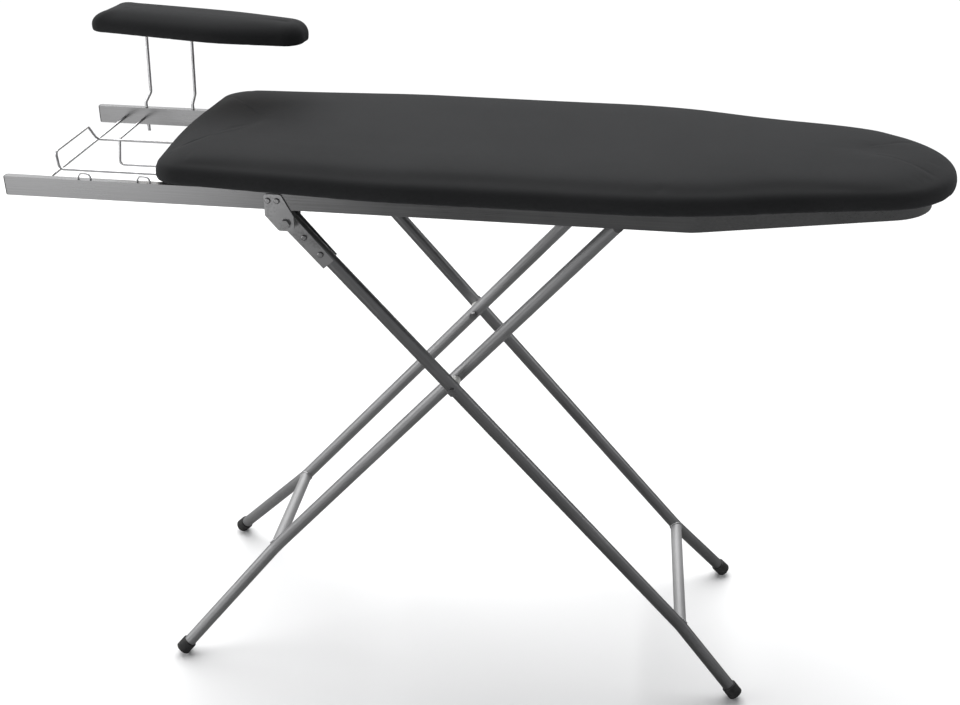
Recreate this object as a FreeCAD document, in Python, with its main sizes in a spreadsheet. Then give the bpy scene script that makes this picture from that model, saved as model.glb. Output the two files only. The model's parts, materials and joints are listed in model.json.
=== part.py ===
import FreeCAD, Part
import math
import os
import Sketcher

# Folding ironing board with a lift-off sleeve board, in millimetres.
# Frame: +Z up, +X from the square (iron rest) end to the rounded nose, +Y to the far side.
# Origin: on the floor under the middle of the whole object's box.

V = FreeCAD.Vector
doc = FreeCAD.newDocument("sleeve_ironing_board")
sheet = doc.addObject("Spreadsheet::Sheet", "Sizes")

# ---------------------------------------------------------------- driving dimensions
SIZES = {
    # rail frame: one rectangular tube bent into a hairpin
    "rail_width": 12, "rail_height": 30, "rail_wall": 1.5,
    "rail_bottom": 901, "rail_left": -717, "rail_line": 184,
    "rail_kink": 326, "rail_kink_radius": 60, "nose_radius": 95, "nose_centre": 602,
    # board outline, measured on the outside of the cover
    "board_left": -478.5, "board_left_half": 201, "board_left_radius": 42,
    "board_left_bow": 18.5, "board_left_bow_radius": 900,
    "board_wide": -140, "board_wide_half": 231, "board_wide_radius": 900,
    "board_taper": 300, "board_taper_half": 229.5, "board_taper_radius": 700,
    "board_tip": 1133.8, "board_nose_radius": 150,
    # layers of the board
    "cover_bottom": 936, "cover_thick": 1.5, "cover_lip": 14,
    "deck_bottom": 938, "deck_top": 958, "deck_sheet": 1, "deck_inset": 6,
    "pad_thick": 13, "vent_radius": 7, "vent_pitch": 52,
    "bearer_width": 30, "bearer_sheet": 2,
    # legs
    "tube_radius": 11, "tube_wall": 1.5, "crossbar_radius": 10.5,
    "pivot_height": 880, "pivot_left": -279.9, "cross_height": 594,
    "outer_angle": 48.56, "inner_angle": 49.15,
    "outer_top_line": 166, "outer_bar_line": 150, "outer_foot_line": 178,
    "inner_top_line": 121, "inner_bar_line": 118, "inner_foot_line": 193,
    "outer_bar_height": 131, "inner_bar_height": 206.5, "foot_height": 7,
    "tube_overrun": 12, "leg_bend_radius": 80,
    "cap_radius": 13.5, "cap_length": 22,
    # hinges
    "saddle_half": 13, "saddle_lean": 18, "saddle_sheet": 2.5, "saddle_drop": 12,
    "bolt_radius": 4, "bolt_hole": 4.08, "bolt_head": 7.5, "bolt_head_height": 5.3,
    "rivet_radius": 2.5, "rivet_head": 4.6, "rivet_dome": 2,
    "shoe_length": 92, "shoe_sheet": 2, "shoe_flare": 13.2,
    # height guide and lock
    "axle_radius": 6, "guide_line": 24, "guide_sheet": 3, "guide_bottom": 862,
    "guide_left": 195, "guide_right": 507, "roller_radius": 8, "slot_play": 0.6,
    "rack_sheet": 4, "rack_bottom": 905, "rack_pitch": 22, "rack_tooth": 8,
    "lever_hole": 6.06, "lever_hub": 11, "lever_width": 10, "lever_reach": 62,
    # wires
    "rod_radius": 2.25, "rest_wire_radius": 2, "rod_height": 911,
    "rest_lip_height": 29, "sleeve_wire_radius": 2.75, "sleeve_hole_radius": 3.1,
    # sleeve board
    "sleeve_length": 364, "sleeve_left": -680, "sleeve_line": 169, "sleeve_bottom": 1081.6,
    "sleeve_thick": 32, "sleeve_rear_half": 58, "sleeve_waist": 225, "sleeve_waist_half": 64,
    "sleeve_nose_half": 37,
    "sleeve_bow": 3, "sleeve_bow_radius": 350,
    "sleeve_yaw": -5.7, "sleeve_tilt": 1.3, "sleeve_base_thick": 8, "sleeve_inset": 3,
}
for row, (alias, number) in enumerate(SIZES.items(), start=1):
    sheet.set("A%d" % row, alias)
    sheet.set("B%d" % row, str(number))
    sheet.setAlias("B%d" % row, alias)
doc.recompute()


def size(alias):
    """Value of one cell of the sheet."""
    return float(sheet.get(alias))


# ---------------------------------------------------------------- worked-out places
PIVOT = V(size("pivot_left"), 0, size("pivot_height"))
OUTER = math.radians(size("outer_angle"))
INNER = math.radians(size("inner_angle"))
DROP = size("pivot_height") - size("cross_height")
OUTER_UPPER = DROP / math.sin(OUTER)
INNER_UPPER = DROP / math.sin(INNER)
CROSSING = V(PIVOT.x + OUTER_UPPER * math.cos(OUTER), 0, size("cross_height"))
AXLE = V(CROSSING.x + INNER_UPPER * math.cos(INNER), 0, size("pivot_height"))
FOLDED_AXLE = size("pivot_left") + OUTER_UPPER + INNER_UPPER
RAIL_TOP = size("rail_bottom") + size("rail_height")
OUTER_PLACE = FreeCAD.Placement(PIVOT, FreeCAD.Rotation(V(0, 1, 0), size("outer_angle")))
INNER_PLACE = FreeCAD.Placement(AXLE, FreeCAD.Rotation(V(0, 1, 0), 180 - size("inner_angle")))
TAPER = math.atan(size("board_taper_half") / (size("board_tip") - size("board_taper")))
SADDLE_INNER = size("outer_top_line") - size("tube_radius") - size("shoe_sheet") - 0.5
SADDLE_FACE = size("rail_line") + size("rail_width") / 2 + size("saddle_sheet")
SIDES = {"near": -1, "far": 1}
# bearers under the deck: place along X and half length
BEARERS = {"rear_bearer": (-425, 186), "middle_bearer": (-110, 190), "front_bearer": (215, 190),
           "fore_bearer": (490, 136), "nose_bearer": (640, 86)}
SLEEVE_HOLES = (-631.0, -545.0)
STAPLES = (-591.5, -498.5)
# iron rest: its two rods along X, and the two sides of its wire loop along Y
REST_FRONT = -673.0
REST_REAR = -458.0
REST_NEAR = -106.0
REST_FAR = 45.0
REST_DROP = 47.0
parts = []


# ---------------------------------------------------------------- modelling helpers
def keep(item, label):
    """Name a finished sub-part; its label is its file's name."""
    item.Label = label
    parts.append(item)
    return item


def new_body(label):
    return keep(doc.addObject("PartDesign::Body", label), label)


def new_sketch(body, role="XY_Plane", offset=0.0):
    """Sketch on one of the body's own origin planes, moved along the plane's normal."""
    sketch = body.newObject("Sketcher::SketchObject", body.Name + "_sketch")
    plane = [item for item in body.Origin.OriginFeatures if item.Role == role][0]
    sketch.AttachmentSupport = [(plane, "")]
    sketch.MapMode = "FlatFace"
    sketch.AttachmentOffset = FreeCAD.Placement(V(0, 0, offset), FreeCAD.Rotation())
    return sketch


def number(term):
    """A plain number, or the value of an expression on the sheet's aliases."""
    if isinstance(term, str):
        return float(sheet.evalExpression(term.replace("Sizes.", "")))
    return float(term)


def pin_point(sketch, geometry, vertex, point):
    """Fix one vertex to the sketch's origin by distances bound to the sheet."""
    for kind, axis, term in (("DistanceX", -2, point[0]), ("DistanceY", -1, point[1])):
        if abs(number(term)) < 1e-9:
            sketch.addConstraint(Sketcher.Constraint("PointOnObject", geometry, vertex, axis))
            continue
        index = sketch.addConstraint(
            Sketcher.Constraint(kind, -1, 1, geometry, vertex, number(term)))
        if isinstance(term, str):
            sketch.setExpression("Constraints[%d]" % index, term)


def add_polygon(sketch, points):
    """Closed outline of straight lines through points, each bound to the sheet."""
    first = sketch.GeometryCount
    count = len(points)
    spots = [V(number(x), number(y), 0) for x, y in points]
    for index in range(count):
        line = Part.LineSegment(spots[index], spots[(index + 1) % count])
        sketch.addGeometry(line, False)
    for index in range(count):
        following = first + (index + 1) % count
        sketch.addConstraint(Sketcher.Constraint("Coincident", first + index, 2, following, 1))
    for index, point in enumerate(points):
        pin_point(sketch, first + index, 1, point)


def add_circle(sketch, centre, radius):
    spot = V(number(centre[0]), number(centre[1]), 0)
    index = sketch.addGeometry(Part.Circle(spot, V(0, 0, 1), number(radius)), False)
    constraint = sketch.addConstraint(Sketcher.Constraint("Radius", index, number(radius)))
    if isinstance(radius, str):
        sketch.setExpression("Constraints[%d]" % constraint, radius)
    pin_point(sketch, index, 3, centre)


def add_rectangle(sketch, low, high):
    add_polygon(sketch, [low, (high[0], low[1]), high, (low[0], high[1])])


def add_pad(body, sketch, length, middle=False, reverse=False):
    pad = body.newObject("PartDesign::Pad", body.Name + "_pad")
    pad.Profile = sketch
    pad.Length = number(length)
    if isinstance(length, str):
        pad.setExpression("Length", length)
    pad.Midplane = middle
    pad.Reversed = reverse
    doc.recompute()
    return pad


def add_pocket(body, sketch, length=None, middle=False, reverse=False):
    """Cut the sketch into the body; with no length it goes right through."""
    before = body.Shape.Volume
    pocket = body.newObject("PartDesign::Pocket", body.Name + "_pocket")
    pocket.Profile = sketch
    pocket.Midplane = middle
    pocket.Reversed = reverse
    if length is None:
        pocket.Type = "ThroughAll"
    else:
        pocket.Length = number(length)
        if isinstance(length, str):
            pocket.setExpression("Length", length)
    doc.recompute()
    if body.Shape.Volume > before - 0.1:
        raise RuntimeError("the pocket in %s cut nothing" % body.Label)
    return pocket


def add_fillet(body, radius, wanted):
    """Round every edge of the body that the test accepts."""
    base = body.Tip
    names = ["Edge%d" % n for n, edge in enumerate(body.Shape.Edges, start=1) if wanted(edge)]
    fillet = body.newObject("PartDesign::Fillet", body.Name + "_round")
    fillet.Base = (base, names)
    fillet.Radius = radius
    doc.recompute()
    return fillet


def runs_along(edge, axis):
    """True for a straight edge parallel to the axis."""
    if edge.Curve.TypeId != "Part::GeomLine":
        return False
    return abs(edge.Curve.Direction.dot(axis)) > 0.999


def rounded_route(points, radii):
    """Straight runs joined by tangent arcs, as a list of Part edges' geometry."""
    pieces = []
    start = points[0]
    for index in range(1, len(points) - 1):
        corner = points[index]
        back = (points[index - 1] - corner).normalize()
        ahead = (points[index + 1] - corner).normalize()
        half = (math.pi - back.getAngle(ahead)) / 2
        reach = radii[index - 1] * math.tan(half)
        enter = corner + back * reach
        leave = corner + ahead * reach
        bisector = (back + ahead).normalize()
        middle = corner + bisector * (radii[index - 1] / math.cos(half) - radii[index - 1])
        pieces.append(Part.LineSegment(start, enter))
        pieces.append(Part.Arc(enter, middle, leave))
        start = leave
    pieces.append(Part.LineSegment(start, points[-1]))
    return pieces


def trimmed(piece):
    """A run or arc in the form that a sketch accepts."""
    if isinstance(piece, Part.Arc):
        arc = piece.toShape()
        return arc.Curve.trim(*arc.ParameterRange)
    return piece


def add_rounded_outline(sketch, corners, radii, bow, bow_radius):
    """Closed outline, symmetric about X, given by its corners on the +Y side from +X to -X.

    The -X end bows outward: its two straight halves meet on the X axis in a wide arc.
    """
    mirrored = [V(p.x, -p.y, 0) for p in reversed(corners) if p.y > 0]
    end = V(corners[-1].x - bow, 0, 0)
    start = (end + mirrored[0]) * 0.5
    route = [start] + mirrored + corners + [end, start]
    rounds = [r for p, r in zip(reversed(corners), reversed(radii)) if p.y > 0] + radii
    for piece in rounded_route(route, rounds + [bow_radius]):
        sketch.addGeometry(trimmed(piece), False)


def add_pipe(body, route, profile):
    """Sweep the profile sketch along a planar route drawn in the body's XY plane."""
    path = new_sketch(body, "XY_Plane", route["height"])
    for piece in rounded_route(route["points"], route["radii"]):
        path.addGeometry(trimmed(piece), False)
    pipe = body.newObject("PartDesign::AdditivePipe", body.Name + "_pipe")
    pipe.Profile = profile
    pipe.Spine = path
    doc.recompute()
    return pipe


def solid_part(label, shape, place=None):
    """A piece built from Part's own solids, such as a group of equal fasteners."""
    feature = doc.addObject("Part::Feature", label)
    feature.Shape = shape
    if place is not None:
        feature.Placement = place
    return keep(feature, label)


def wire_part(label, points, bend, radius, place=None):
    """Round wire bent through points that don't lie in one plane."""
    route = Part.Wire([piece.toShape() for piece in rounded_route(points, bend)])
    heading = points[1] - points[0]
    section = Part.Wire([Part.Circle(points[0], heading, radius).toShape()])
    return solid_part(label, route.makePipeShell([section], True, False), place)


def cylinder_along_y(radius, start, end, x=0.0, z=0.0):
    low, high = sorted((start, end))
    return Part.makeCylinder(radius, high - low, V(x, low, z), V(0, 1, 0))


def hexagon_along_y(radius, start, end, x=0.0, z=0.0):
    low, high = sorted((start, end))
    corners = [V(x + radius * math.cos(math.radians(60 * k)), low,
                 z + radius * math.sin(math.radians(60 * k))) for k in range(7)]
    return Part.Face(Part.makePolygon(corners)).extrude(V(0, high - low, 0))


def group(shapes):
    return Part.makeCompound(shapes)


# ---------------------------------------------------------------- rail frame
def make_rail_frame():
    body = new_body("rail_frame")
    section = new_sketch(body, "YZ_Plane", size("rail_left"))
    middle = "Sizes.rail_bottom + Sizes.rail_height / 2"
    for wall in ("0", "Sizes.rail_wall"):
        half_width = "(Sizes.rail_width / 2 - %s)" % wall
        half_height = "(Sizes.rail_height / 2 - %s)" % wall
        add_rectangle(section,
                      ("-Sizes.rail_line - " + half_width, middle + " - " + half_height),
                      ("-Sizes.rail_line + " + half_width, middle + " + " + half_height))
    # the tapering run is tangent to the nose bend
    kink = V(size("rail_kink"), -size("rail_line"), 0)
    centre = V(size("nose_centre"), 0, 0)
    to_centre = centre - kink
    slope = math.atan2(to_centre.y, to_centre.x)
    slope -= math.asin(size("nose_radius") / to_centre.Length)
    tip = centre.x + size("nose_radius") / math.sin(slope)
    path = new_sketch(body, "XY_Plane", number(middle))
    run = [V(size("rail_left"), kink.y, 0), kink, V(tip, 0, 0)]
    pieces = rounded_route(run, [size("rail_kink_radius")])
    touch = centre + V(math.sin(slope), -math.cos(slope), 0) * size("nose_radius")
    pieces[-1] = Part.LineSegment(pieces[-1].StartPoint, touch)
    mirrored = []
    for piece in reversed(pieces):
        ends = [V(p.x, -p.y, 0) for p in (piece.EndPoint, piece.StartPoint)]
        if isinstance(piece, Part.LineSegment):
            mirrored.append(Part.LineSegment(*ends))
        else:
            arc = piece.toShape()
            spot = arc.valueAt((arc.FirstParameter + arc.LastParameter) / 2)
            mirrored.append(Part.Arc(ends[0], V(spot.x, -spot.y, 0), ends[1]))
    front = centre + V(size("nose_radius"), 0, 0)
    nose = Part.Arc(touch, front, V(touch.x, -touch.y, 0))
    for piece in pieces + [nose] + mirrored:
        path.addGeometry(trimmed(piece), False)
    pipe = body.newObject("PartDesign::AdditivePipe", "rail_pipe")
    pipe.Profile = section
    pipe.Spine = path
    doc.recompute()
    holes = new_sketch(body, "XY_Plane", RAIL_TOP + 1)
    for spot in SLEEVE_HOLES:
        add_circle(holes, (spot, "Sizes.rail_line"), "Sizes.sleeve_hole_radius")
    add_pocket(body, holes)


def make_rail_plugs():
    """Moulded plugs that close the two open ends of the rail tube."""
    lip = 1.5
    depth = 16
    play = size("rail_wall") + 0.1
    plugs = []
    for side in SIDES.values():
        low = side * size("rail_line") - size("rail_width") / 2
        face = Part.makeBox(lip, size("rail_width"), size("rail_height"),
                            V(size("rail_left") - lip, low, size("rail_bottom")))
        corners = [e for e in face.Edges if abs(e.tangentAt(e.FirstParameter).x) > 0.99]
        face = face.makeFillet(2.0, corners)
        stem = Part.makeBox(depth, size("rail_width") - 2 * play, size("rail_height") - 2 * play,
                            V(size("rail_left"), low + play, size("rail_bottom") + play))
        plugs.append(face.fuse(stem))
    solid_part("rail_end_plugs", group(plugs))


# ---------------------------------------------------------------- ironing surface
def board_outline(sketch, inset):
    """Plan of the board: bowed rear end, slight swell, long taper to a round nose."""
    tip = size("board_tip") - inset / math.sin(TAPER)
    corners = [V(tip, 0, 0),
               V(size("board_taper"), size("board_taper_half") - inset, 0),
               V(size("board_wide"), size("board_wide_half") - inset, 0),
               V(size("board_left") + inset, size("board_left_half") - inset, 0)]
    radii = [size("board_nose_radius") - inset, size("board_taper_radius"),
             size("board_wide_radius"), size("board_left_radius") - inset]
    add_rounded_outline(sketch, corners, radii, size("board_left_bow"),
                        size("board_left_bow_radius"))


def board_slab(label, inset, bottom, top):
    """Solid slab with the board's outline, between two heights."""
    body = new_body(label)
    sketch = new_sketch(body, "XY_Plane", number(bottom))
    board_outline(sketch, number(inset))
    add_pad(body, sketch, "%s - (%s)" % (top, bottom))
    return body


def cut_tray(body, label, inset, bottom, top):
    """Take a smaller slab of the same outline out of a slab."""
    tool = board_slab(label + "_hollow", inset, bottom, top)
    parts.remove(tool)
    tray = doc.addObject("Part::Cut", label)
    tray.Base = body
    tray.Tool = tool
    parts.remove(body)
    body.Label = label + "_blank"
    doc.recompute()
    return tray


def make_deck():
    """Pressed steel tray, perforated so that steam can pass down through it."""
    blank = board_slab("board_deck", "Sizes.deck_inset", "Sizes.deck_bottom", "Sizes.deck_top")
    vents = new_sketch(blank, "XY_Plane", size("deck_top") + 1)
    pitch = size("vent_pitch")
    margin = 24
    first = 36
    columns = 22
    for column in range(columns):
        x = size("board_left") + first + column * pitch
        half = half_width_at(x) - margin
        rows = int(half // pitch)
        for row in range(-rows, rows + 1):
            add_circle(vents, (x, row * pitch), "Sizes.vent_radius")
    add_pocket(blank, vents)
    inner = "(Sizes.deck_inset + Sizes.deck_sheet)"
    tray = cut_tray(blank, "board_deck", inner,
                    "Sizes.deck_bottom - 1", "Sizes.deck_top - Sizes.deck_sheet")
    keep(tray, "board_deck")


def half_width_at(x):
    """Half the board's width at x, from the straight runs of its outline."""
    nose_x = size("board_tip") - size("board_nose_radius") / math.sin(TAPER)
    if x > nose_x + size("board_nose_radius") * math.sin(TAPER):
        return math.sqrt(max(size("board_nose_radius") ** 2 - (x - nose_x) ** 2, 0))
    if x > size("board_taper"):
        return (size("board_tip") - x) * math.tan(TAPER)
    return size("board_left_half")


def make_board_pad():
    board_slab("board_pad", "Sizes.deck_inset", "Sizes.deck_top",
               "Sizes.deck_top + Sizes.pad_thick")


def make_board_cover():
    """Fitted cloth cover: a skin over the pad and skirt with a lip turned under the deck."""
    top = "Sizes.deck_top + Sizes.pad_thick + Sizes.cover_thick"
    skin = board_slab("board_cover", "0", "Sizes.cover_bottom", top)
    parts.remove(skin)
    skin.Label = "board_cover_blank"
    tools = []
    for name, inset, low, high in (
            ("cover_inside", "(Sizes.deck_inset - 0.2)", "Sizes.cover_bottom + Sizes.cover_thick",
             "Sizes.deck_top + Sizes.pad_thick"),
            ("cover_mouth", "Sizes.cover_lip", "Sizes.cover_bottom - 1",
             "Sizes.cover_bottom + Sizes.cover_thick + 1")):
        tool = board_slab(name, inset, low, high)
        parts.remove(tool)
        tools.append(tool)
    hollow = doc.addObject("Part::MultiFuse", "cover_hollow")
    hollow.Shapes = tools
    cover = doc.addObject("Part::Cut", "board_cover")
    cover.Base = skin
    cover.Tool = hollow
    doc.recompute()
    keep(cover, "board_cover")


def make_bearer(label, x, half_length):
    """Inverted channel across the rails that carries the deck."""
    body = new_body(label)
    sketch = new_sketch(body, "XZ_Plane", 0)
    low = "Sizes.rail_bottom + Sizes.rail_height"
    high = "Sizes.deck_top - Sizes.deck_sheet"
    half = "Sizes.bearer_width / 2"
    wall = "Sizes.bearer_sheet"
    add_polygon(sketch, [
        ("%s - %s" % (x, half), low), ("%s - %s" % (x, half), high),
        ("%s + %s" % (x, half), high), ("%s + %s" % (x, half), low),
        ("%s + %s - %s" % (x, half, wall), low),
        ("%s + %s - %s" % (x, half, wall), "%s - %s" % (high, wall)),
        ("%s - %s + %s" % (x, half, wall), "%s - %s" % (high, wall)),
        ("%s - %s + %s" % (x, half, wall), low)])
    add_pad(body, sketch, 2 * half_length, middle=True)


def make_deck_rivets():
    """Flush rivets that hold the deck down on the bearers."""
    rivets = []
    top = size("deck_top")
    radius, head_radius, head_depth = 1.5, 4, 1.4
    for x, half_length in BEARERS.values():
        for share in (-0.8, 0, 0.8):
            y = share * half_length
            head = Part.makeCone(radius, head_radius, head_depth, V(x, y, top - head_depth))
            shank = Part.makeCylinder(radius, 5, V(x, y, top - 6))
            rivets.append(head.fuse(shank))
    solid_part("deck_rivets", group(rivets))


# ---------------------------------------------------------------- legs
def leg_points(kind, side):
    """Points of a leg tube's centre line in its own frame: along the leg, and across."""
    angle = {"outer": OUTER, "inner": INNER}[kind]
    top = size(kind + "_top_line")
    bar = size(kind + "_bar_line")
    foot = size(kind + "_foot_line")
    to_bar = (size("pivot_height") - size(kind + "_bar_height")) / math.sin(angle)
    to_foot = (size("pivot_height") - size("foot_height")) / math.sin(angle)
    start = -size("tube_overrun")
    top_y = top + (bar - top) * start / to_bar
    return [V(start, side * top_y, 0), V(to_bar, side * bar, 0), V(to_foot, side * foot, 0)]


def line_at(kind, distance):
    """Distance of a leg's centre line from the middle plane, at a place along the leg."""
    angle = {"outer": OUTER, "inner": INNER}[kind]
    to_bar = (size("pivot_height") - size(kind + "_bar_height")) / math.sin(angle)
    top = size(kind + "_top_line")
    return top + (size(kind + "_bar_line") - top) * distance / to_bar


def make_leg(kind, name, holes):
    """Round tube, straight to the crossbar and then splayed out to its foot."""
    side = SIDES[name]
    body = new_body("%s_leg_%s" % (kind, name))
    points = leg_points(kind, side)
    ahead = (points[2] - points[1]).normalize()
    cap_floor = 3.4
    points[2] = points[2] - ahead * cap_floor
    section = new_sketch(body, "YZ_Plane", points[0].x)
    for radius in ("Sizes.tube_radius", "Sizes.tube_radius - Sizes.tube_wall"):
        add_circle(section, (points[0].y, "0"), radius)
    add_pipe(body, {"points": points, "radii": [size("leg_bend_radius")], "height": 0}, section)
    drill = new_sketch(body, "XZ_Plane", 0)
    for distance, radius in holes:
        add_circle(drill, (distance, "0"), radius)
    add_pocket(body, drill, 500, middle=True)
    body.Placement = OUTER_PLACE if kind == "outer" else INNER_PLACE


def make_crossbar(kind):
    """Tube between the two legs of a frame, its ends coped round them."""
    points = leg_points(kind, 1)
    reach = points[1].x
    line = points[1].y
    bar = cylinder_along_y(size("crossbar_radius"), -line, line, reach)
    bar = bar.cut(cylinder_along_y(size("crossbar_radius") - 1.5, -line, line, reach))
    for side in SIDES.values():
        leg = Part.makeCylinder(size("tube_radius"), 80, V(reach - 40, side * line, 0), V(1, 0, 0))
        bar = bar.cut(leg)
    place = OUTER_PLACE if kind == "outer" else INNER_PLACE
    middle = [s for s in bar.Solids if s.Volume == max(t.Volume for t in bar.Solids)][0]
    solid_part(kind + "_crossbar", middle, place)


def make_foot_cap(kind, name):
    """Moulded foot pushed over the tube's end, with a flat that stands on the floor."""
    points = leg_points(kind, SIDES[name])
    ahead = (points[2] - points[1]).normalize()
    end = points[2]
    length = size("cap_length")
    outside = Part.makeCylinder(size("cap_radius"), length, end - ahead * length, ahead)
    rim = [e for e in outside.Edges if isinstance(e.Curve, Part.Circle)]
    outside = outside.makeFillet(1.6, rim)
    socket = Part.makeCylinder(size("tube_radius") + 0.02, length, end - ahead * (length + 3), ahead)
    cap = outside.cut(socket)
    place = OUTER_PLACE if kind == "outer" else INNER_PLACE
    floor = Part.makeBox(200, 200, 100, V(-100, -100, -100))
    spot = place.multVec(end)
    floor.translate(V(spot.x, spot.y, 0))
    cap.Placement = place
    solid_part("%s_foot_cap_%s" % (kind, name), cap.cut(floor))


def make_tube_plugs(kind):
    """Small plugs in the upper ends of a frame's tubes."""
    plugs = []
    for side in SIDES.values():
        points = leg_points(kind, side)
        back = (points[0] - points[1]).normalize()
        head = Part.makeCylinder(size("tube_radius"), 2, points[0] + back * 0.3, back)
        inside = size("tube_radius") - size("tube_wall") - 0.1
        stem = Part.makeCylinder(inside, 3.5, points[0] - back * 3.5, back)
        plugs.append(head.fuse(stem))
    place = OUTER_PLACE if kind == "outer" else INNER_PLACE
    solid_part(kind + "_tube_plugs", group(plugs), place)


# ---------------------------------------------------------------- hinges on the rails
def make_saddle(name):
    """Riveted hinge bracket: a cheek on the rail's face, a web under it, an inner cheek.

    Seen from the side it leans back along the leg, from the pivot up to the rail.
    """
    side = SIDES[name]
    half = size("saddle_half")
    sheet_t = size("saddle_sheet")
    lean = size("saddle_lean")
    low = PIVOT.z - size("saddle_drop")
    top = size("rail_bottom") + 25
    knee = PIVOT.z + 12
    profile = [(-lean - half, top), (-lean + half, top), (half, knee), (half, low),
               (-half + 2, low), (-lean - half, knee)]

    def plate(y_low, y_high):
        ends = sorted((side * y_low, side * y_high))
        outline = [V(PIVOT.x + x, ends[0], z) for x, z in profile]
        return Part.Face(Part.makePolygon(outline + outline[:1])).extrude(V(0, ends[1] - ends[0], 0))

    def block(y_low, y_high, z_low, z_high):
        ends = sorted((side * y_low, side * y_high))
        return Part.makeBox(2 * (half + lean), ends[1] - ends[0], z_high - z_low,
                            V(PIVOT.x - half - lean, ends[0], z_low))

    cheek = plate(SADDLE_FACE - sheet_t, SADDLE_FACE)
    tongue = plate(SADDLE_INNER - sheet_t, SADDLE_INNER)
    tongue = tongue.cut(block(SADDLE_INNER - 10, SADDLE_INNER + 10, size("rail_bottom"), top + 1))
    web = plate(SADDLE_INNER - sheet_t, SADDLE_FACE).common(
        block(SADDLE_INNER - 10, SADDLE_FACE + 10, size("rail_bottom") - sheet_t,
              size("rail_bottom")))
    saddle = cheek.fuse([web, tongue]).removeSplitter()
    for radius, z_low, z_high in ((6, low - 1, low + 1), (5, top - 1, top + 1)):
        corners = [e for e in saddle.Edges
                   if abs(e.tangentAt(e.FirstParameter).y) > 0.99 and e.Length < sheet_t + 0.1
                   and z_low < e.CenterOfMass.z < z_high]
        saddle = saddle.makeFillet(radius, corners)
    hole = cylinder_along_y(size("bolt_radius"), side * (SADDLE_INNER - 10),
                            side * (SADDLE_FACE + 10), PIVOT.x, PIVOT.z)
    solid_part("hinge_saddle_" + name, saddle.cut(hole))


def dome_rivet(side, face, depth, x, z):
    """Rivet across a plate's outer face, with a domed head."""
    crown = size("rivet_dome")
    head = cylinder_along_y(size("rivet_head"), side * face, side * (face + crown), x, z)
    rim = [e for e in head.Edges if isinstance(e.Curve, Part.Circle)
           and abs(e.CenterOfMass.y) > face + crown / 2]
    head = head.makeFillet(crown * 0.8, rim)
    return head.fuse(cylinder_along_y(size("rivet_radius"), side * face, side * (face - depth),
                                      x, z))


def make_saddle_rivets():
    z = size("rail_bottom") + 15
    rivets = [dome_rivet(side, SADDLE_FACE, 6, PIVOT.x - size("saddle_lean") + shift, z)
              for side in SIDES.values() for shift in (-7, 7)]
    solid_part("saddle_rivets", group(rivets))


def make_pivot_bolts():
    """Bolts that the outer legs turn on, with their nuts as separate pieces."""
    face = SADDLE_FACE
    back = SADDLE_INNER - size("saddle_sheet")
    bolts = []
    nuts = []
    spacers = []
    for side in SIDES.values():
        head = hexagon_along_y(size("bolt_head"), side * face,
                               side * (face + size("bolt_head_height")), PIVOT.x, PIVOT.z)
        shank = cylinder_along_y(size("bolt_radius"), side * face, side * (back - 9),
                                 PIVOT.x, PIVOT.z)
        bolts.append(head.fuse(shank))
        nut = hexagon_along_y(size("bolt_head"), side * back, side * (back - 6.5),
                              PIVOT.x, PIVOT.z)
        nuts.append(nut.cut(shank))
        shoe = size("outer_top_line") + size("tube_radius") + size("shoe_sheet") + 0.3
        ring = cylinder_along_y(8, side * shoe, side * (face - size("saddle_sheet")),
                                PIVOT.x, PIVOT.z)
        spacers.append(ring.cut(shank))
    solid_part("pivot_bolts", group(bolts))
    solid_part("pivot_nuts", group(nuts))
    solid_part("pivot_spacers", group(spacers))


def make_leg_shoe(name):
    """Pressed channel riveted round the top of an outer leg, open on its upper side."""
    side = SIDES[name]
    body = new_body("leg_shoe_" + name)
    sketch = new_sketch(body, "XZ_Plane", 0)
    head = size("tube_radius") + 1
    flare = size("shoe_flare")
    add_polygon(sketch, [(-head, -flare), (-head, head), ("Sizes.shoe_length", head - 3),
                         ("Sizes.shoe_length", -flare)])
    add_pad(body, sketch, "2 * (Sizes.tube_radius + Sizes.shoe_sheet)", middle=True)
    add_fillet(body, 9, lambda edge: runs_along(edge, V(0, 1, 0)) and edge.CenterOfMass.x < 0)
    hollow = new_sketch(body, "XZ_Plane", 0)
    add_rectangle(hollow, (-60, -flare + size("shoe_sheet")), (200, 60))
    add_pocket(body, hollow, "2 * Sizes.tube_radius + 0.1", middle=True)
    hole = new_sketch(body, "XZ_Plane", 0)
    add_circle(hole, ("0", "0"), "Sizes.bolt_hole + 0.5")
    add_pocket(body, hole, 60, middle=True)
    points = leg_points("outer", side)
    run = points[1] - points[0]
    lean = FreeCAD.Rotation(V(0, 0, 1), math.degrees(math.atan2(run.y, run.x)))
    spot = V(0, side * size("outer_top_line"), 0)
    body.Placement = OUTER_PLACE * FreeCAD.Placement(spot, lean)


def make_shoe_rivets():
    face = size("outer_top_line") + size("tube_radius") + size("shoe_sheet")
    rivets = [dome_rivet(side, face, 5, distance, 0)
              for side in SIDES.values() for distance in (36, 72)]
    solid_part("shoe_rivets", group(rivets), OUTER_PLACE)


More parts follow.
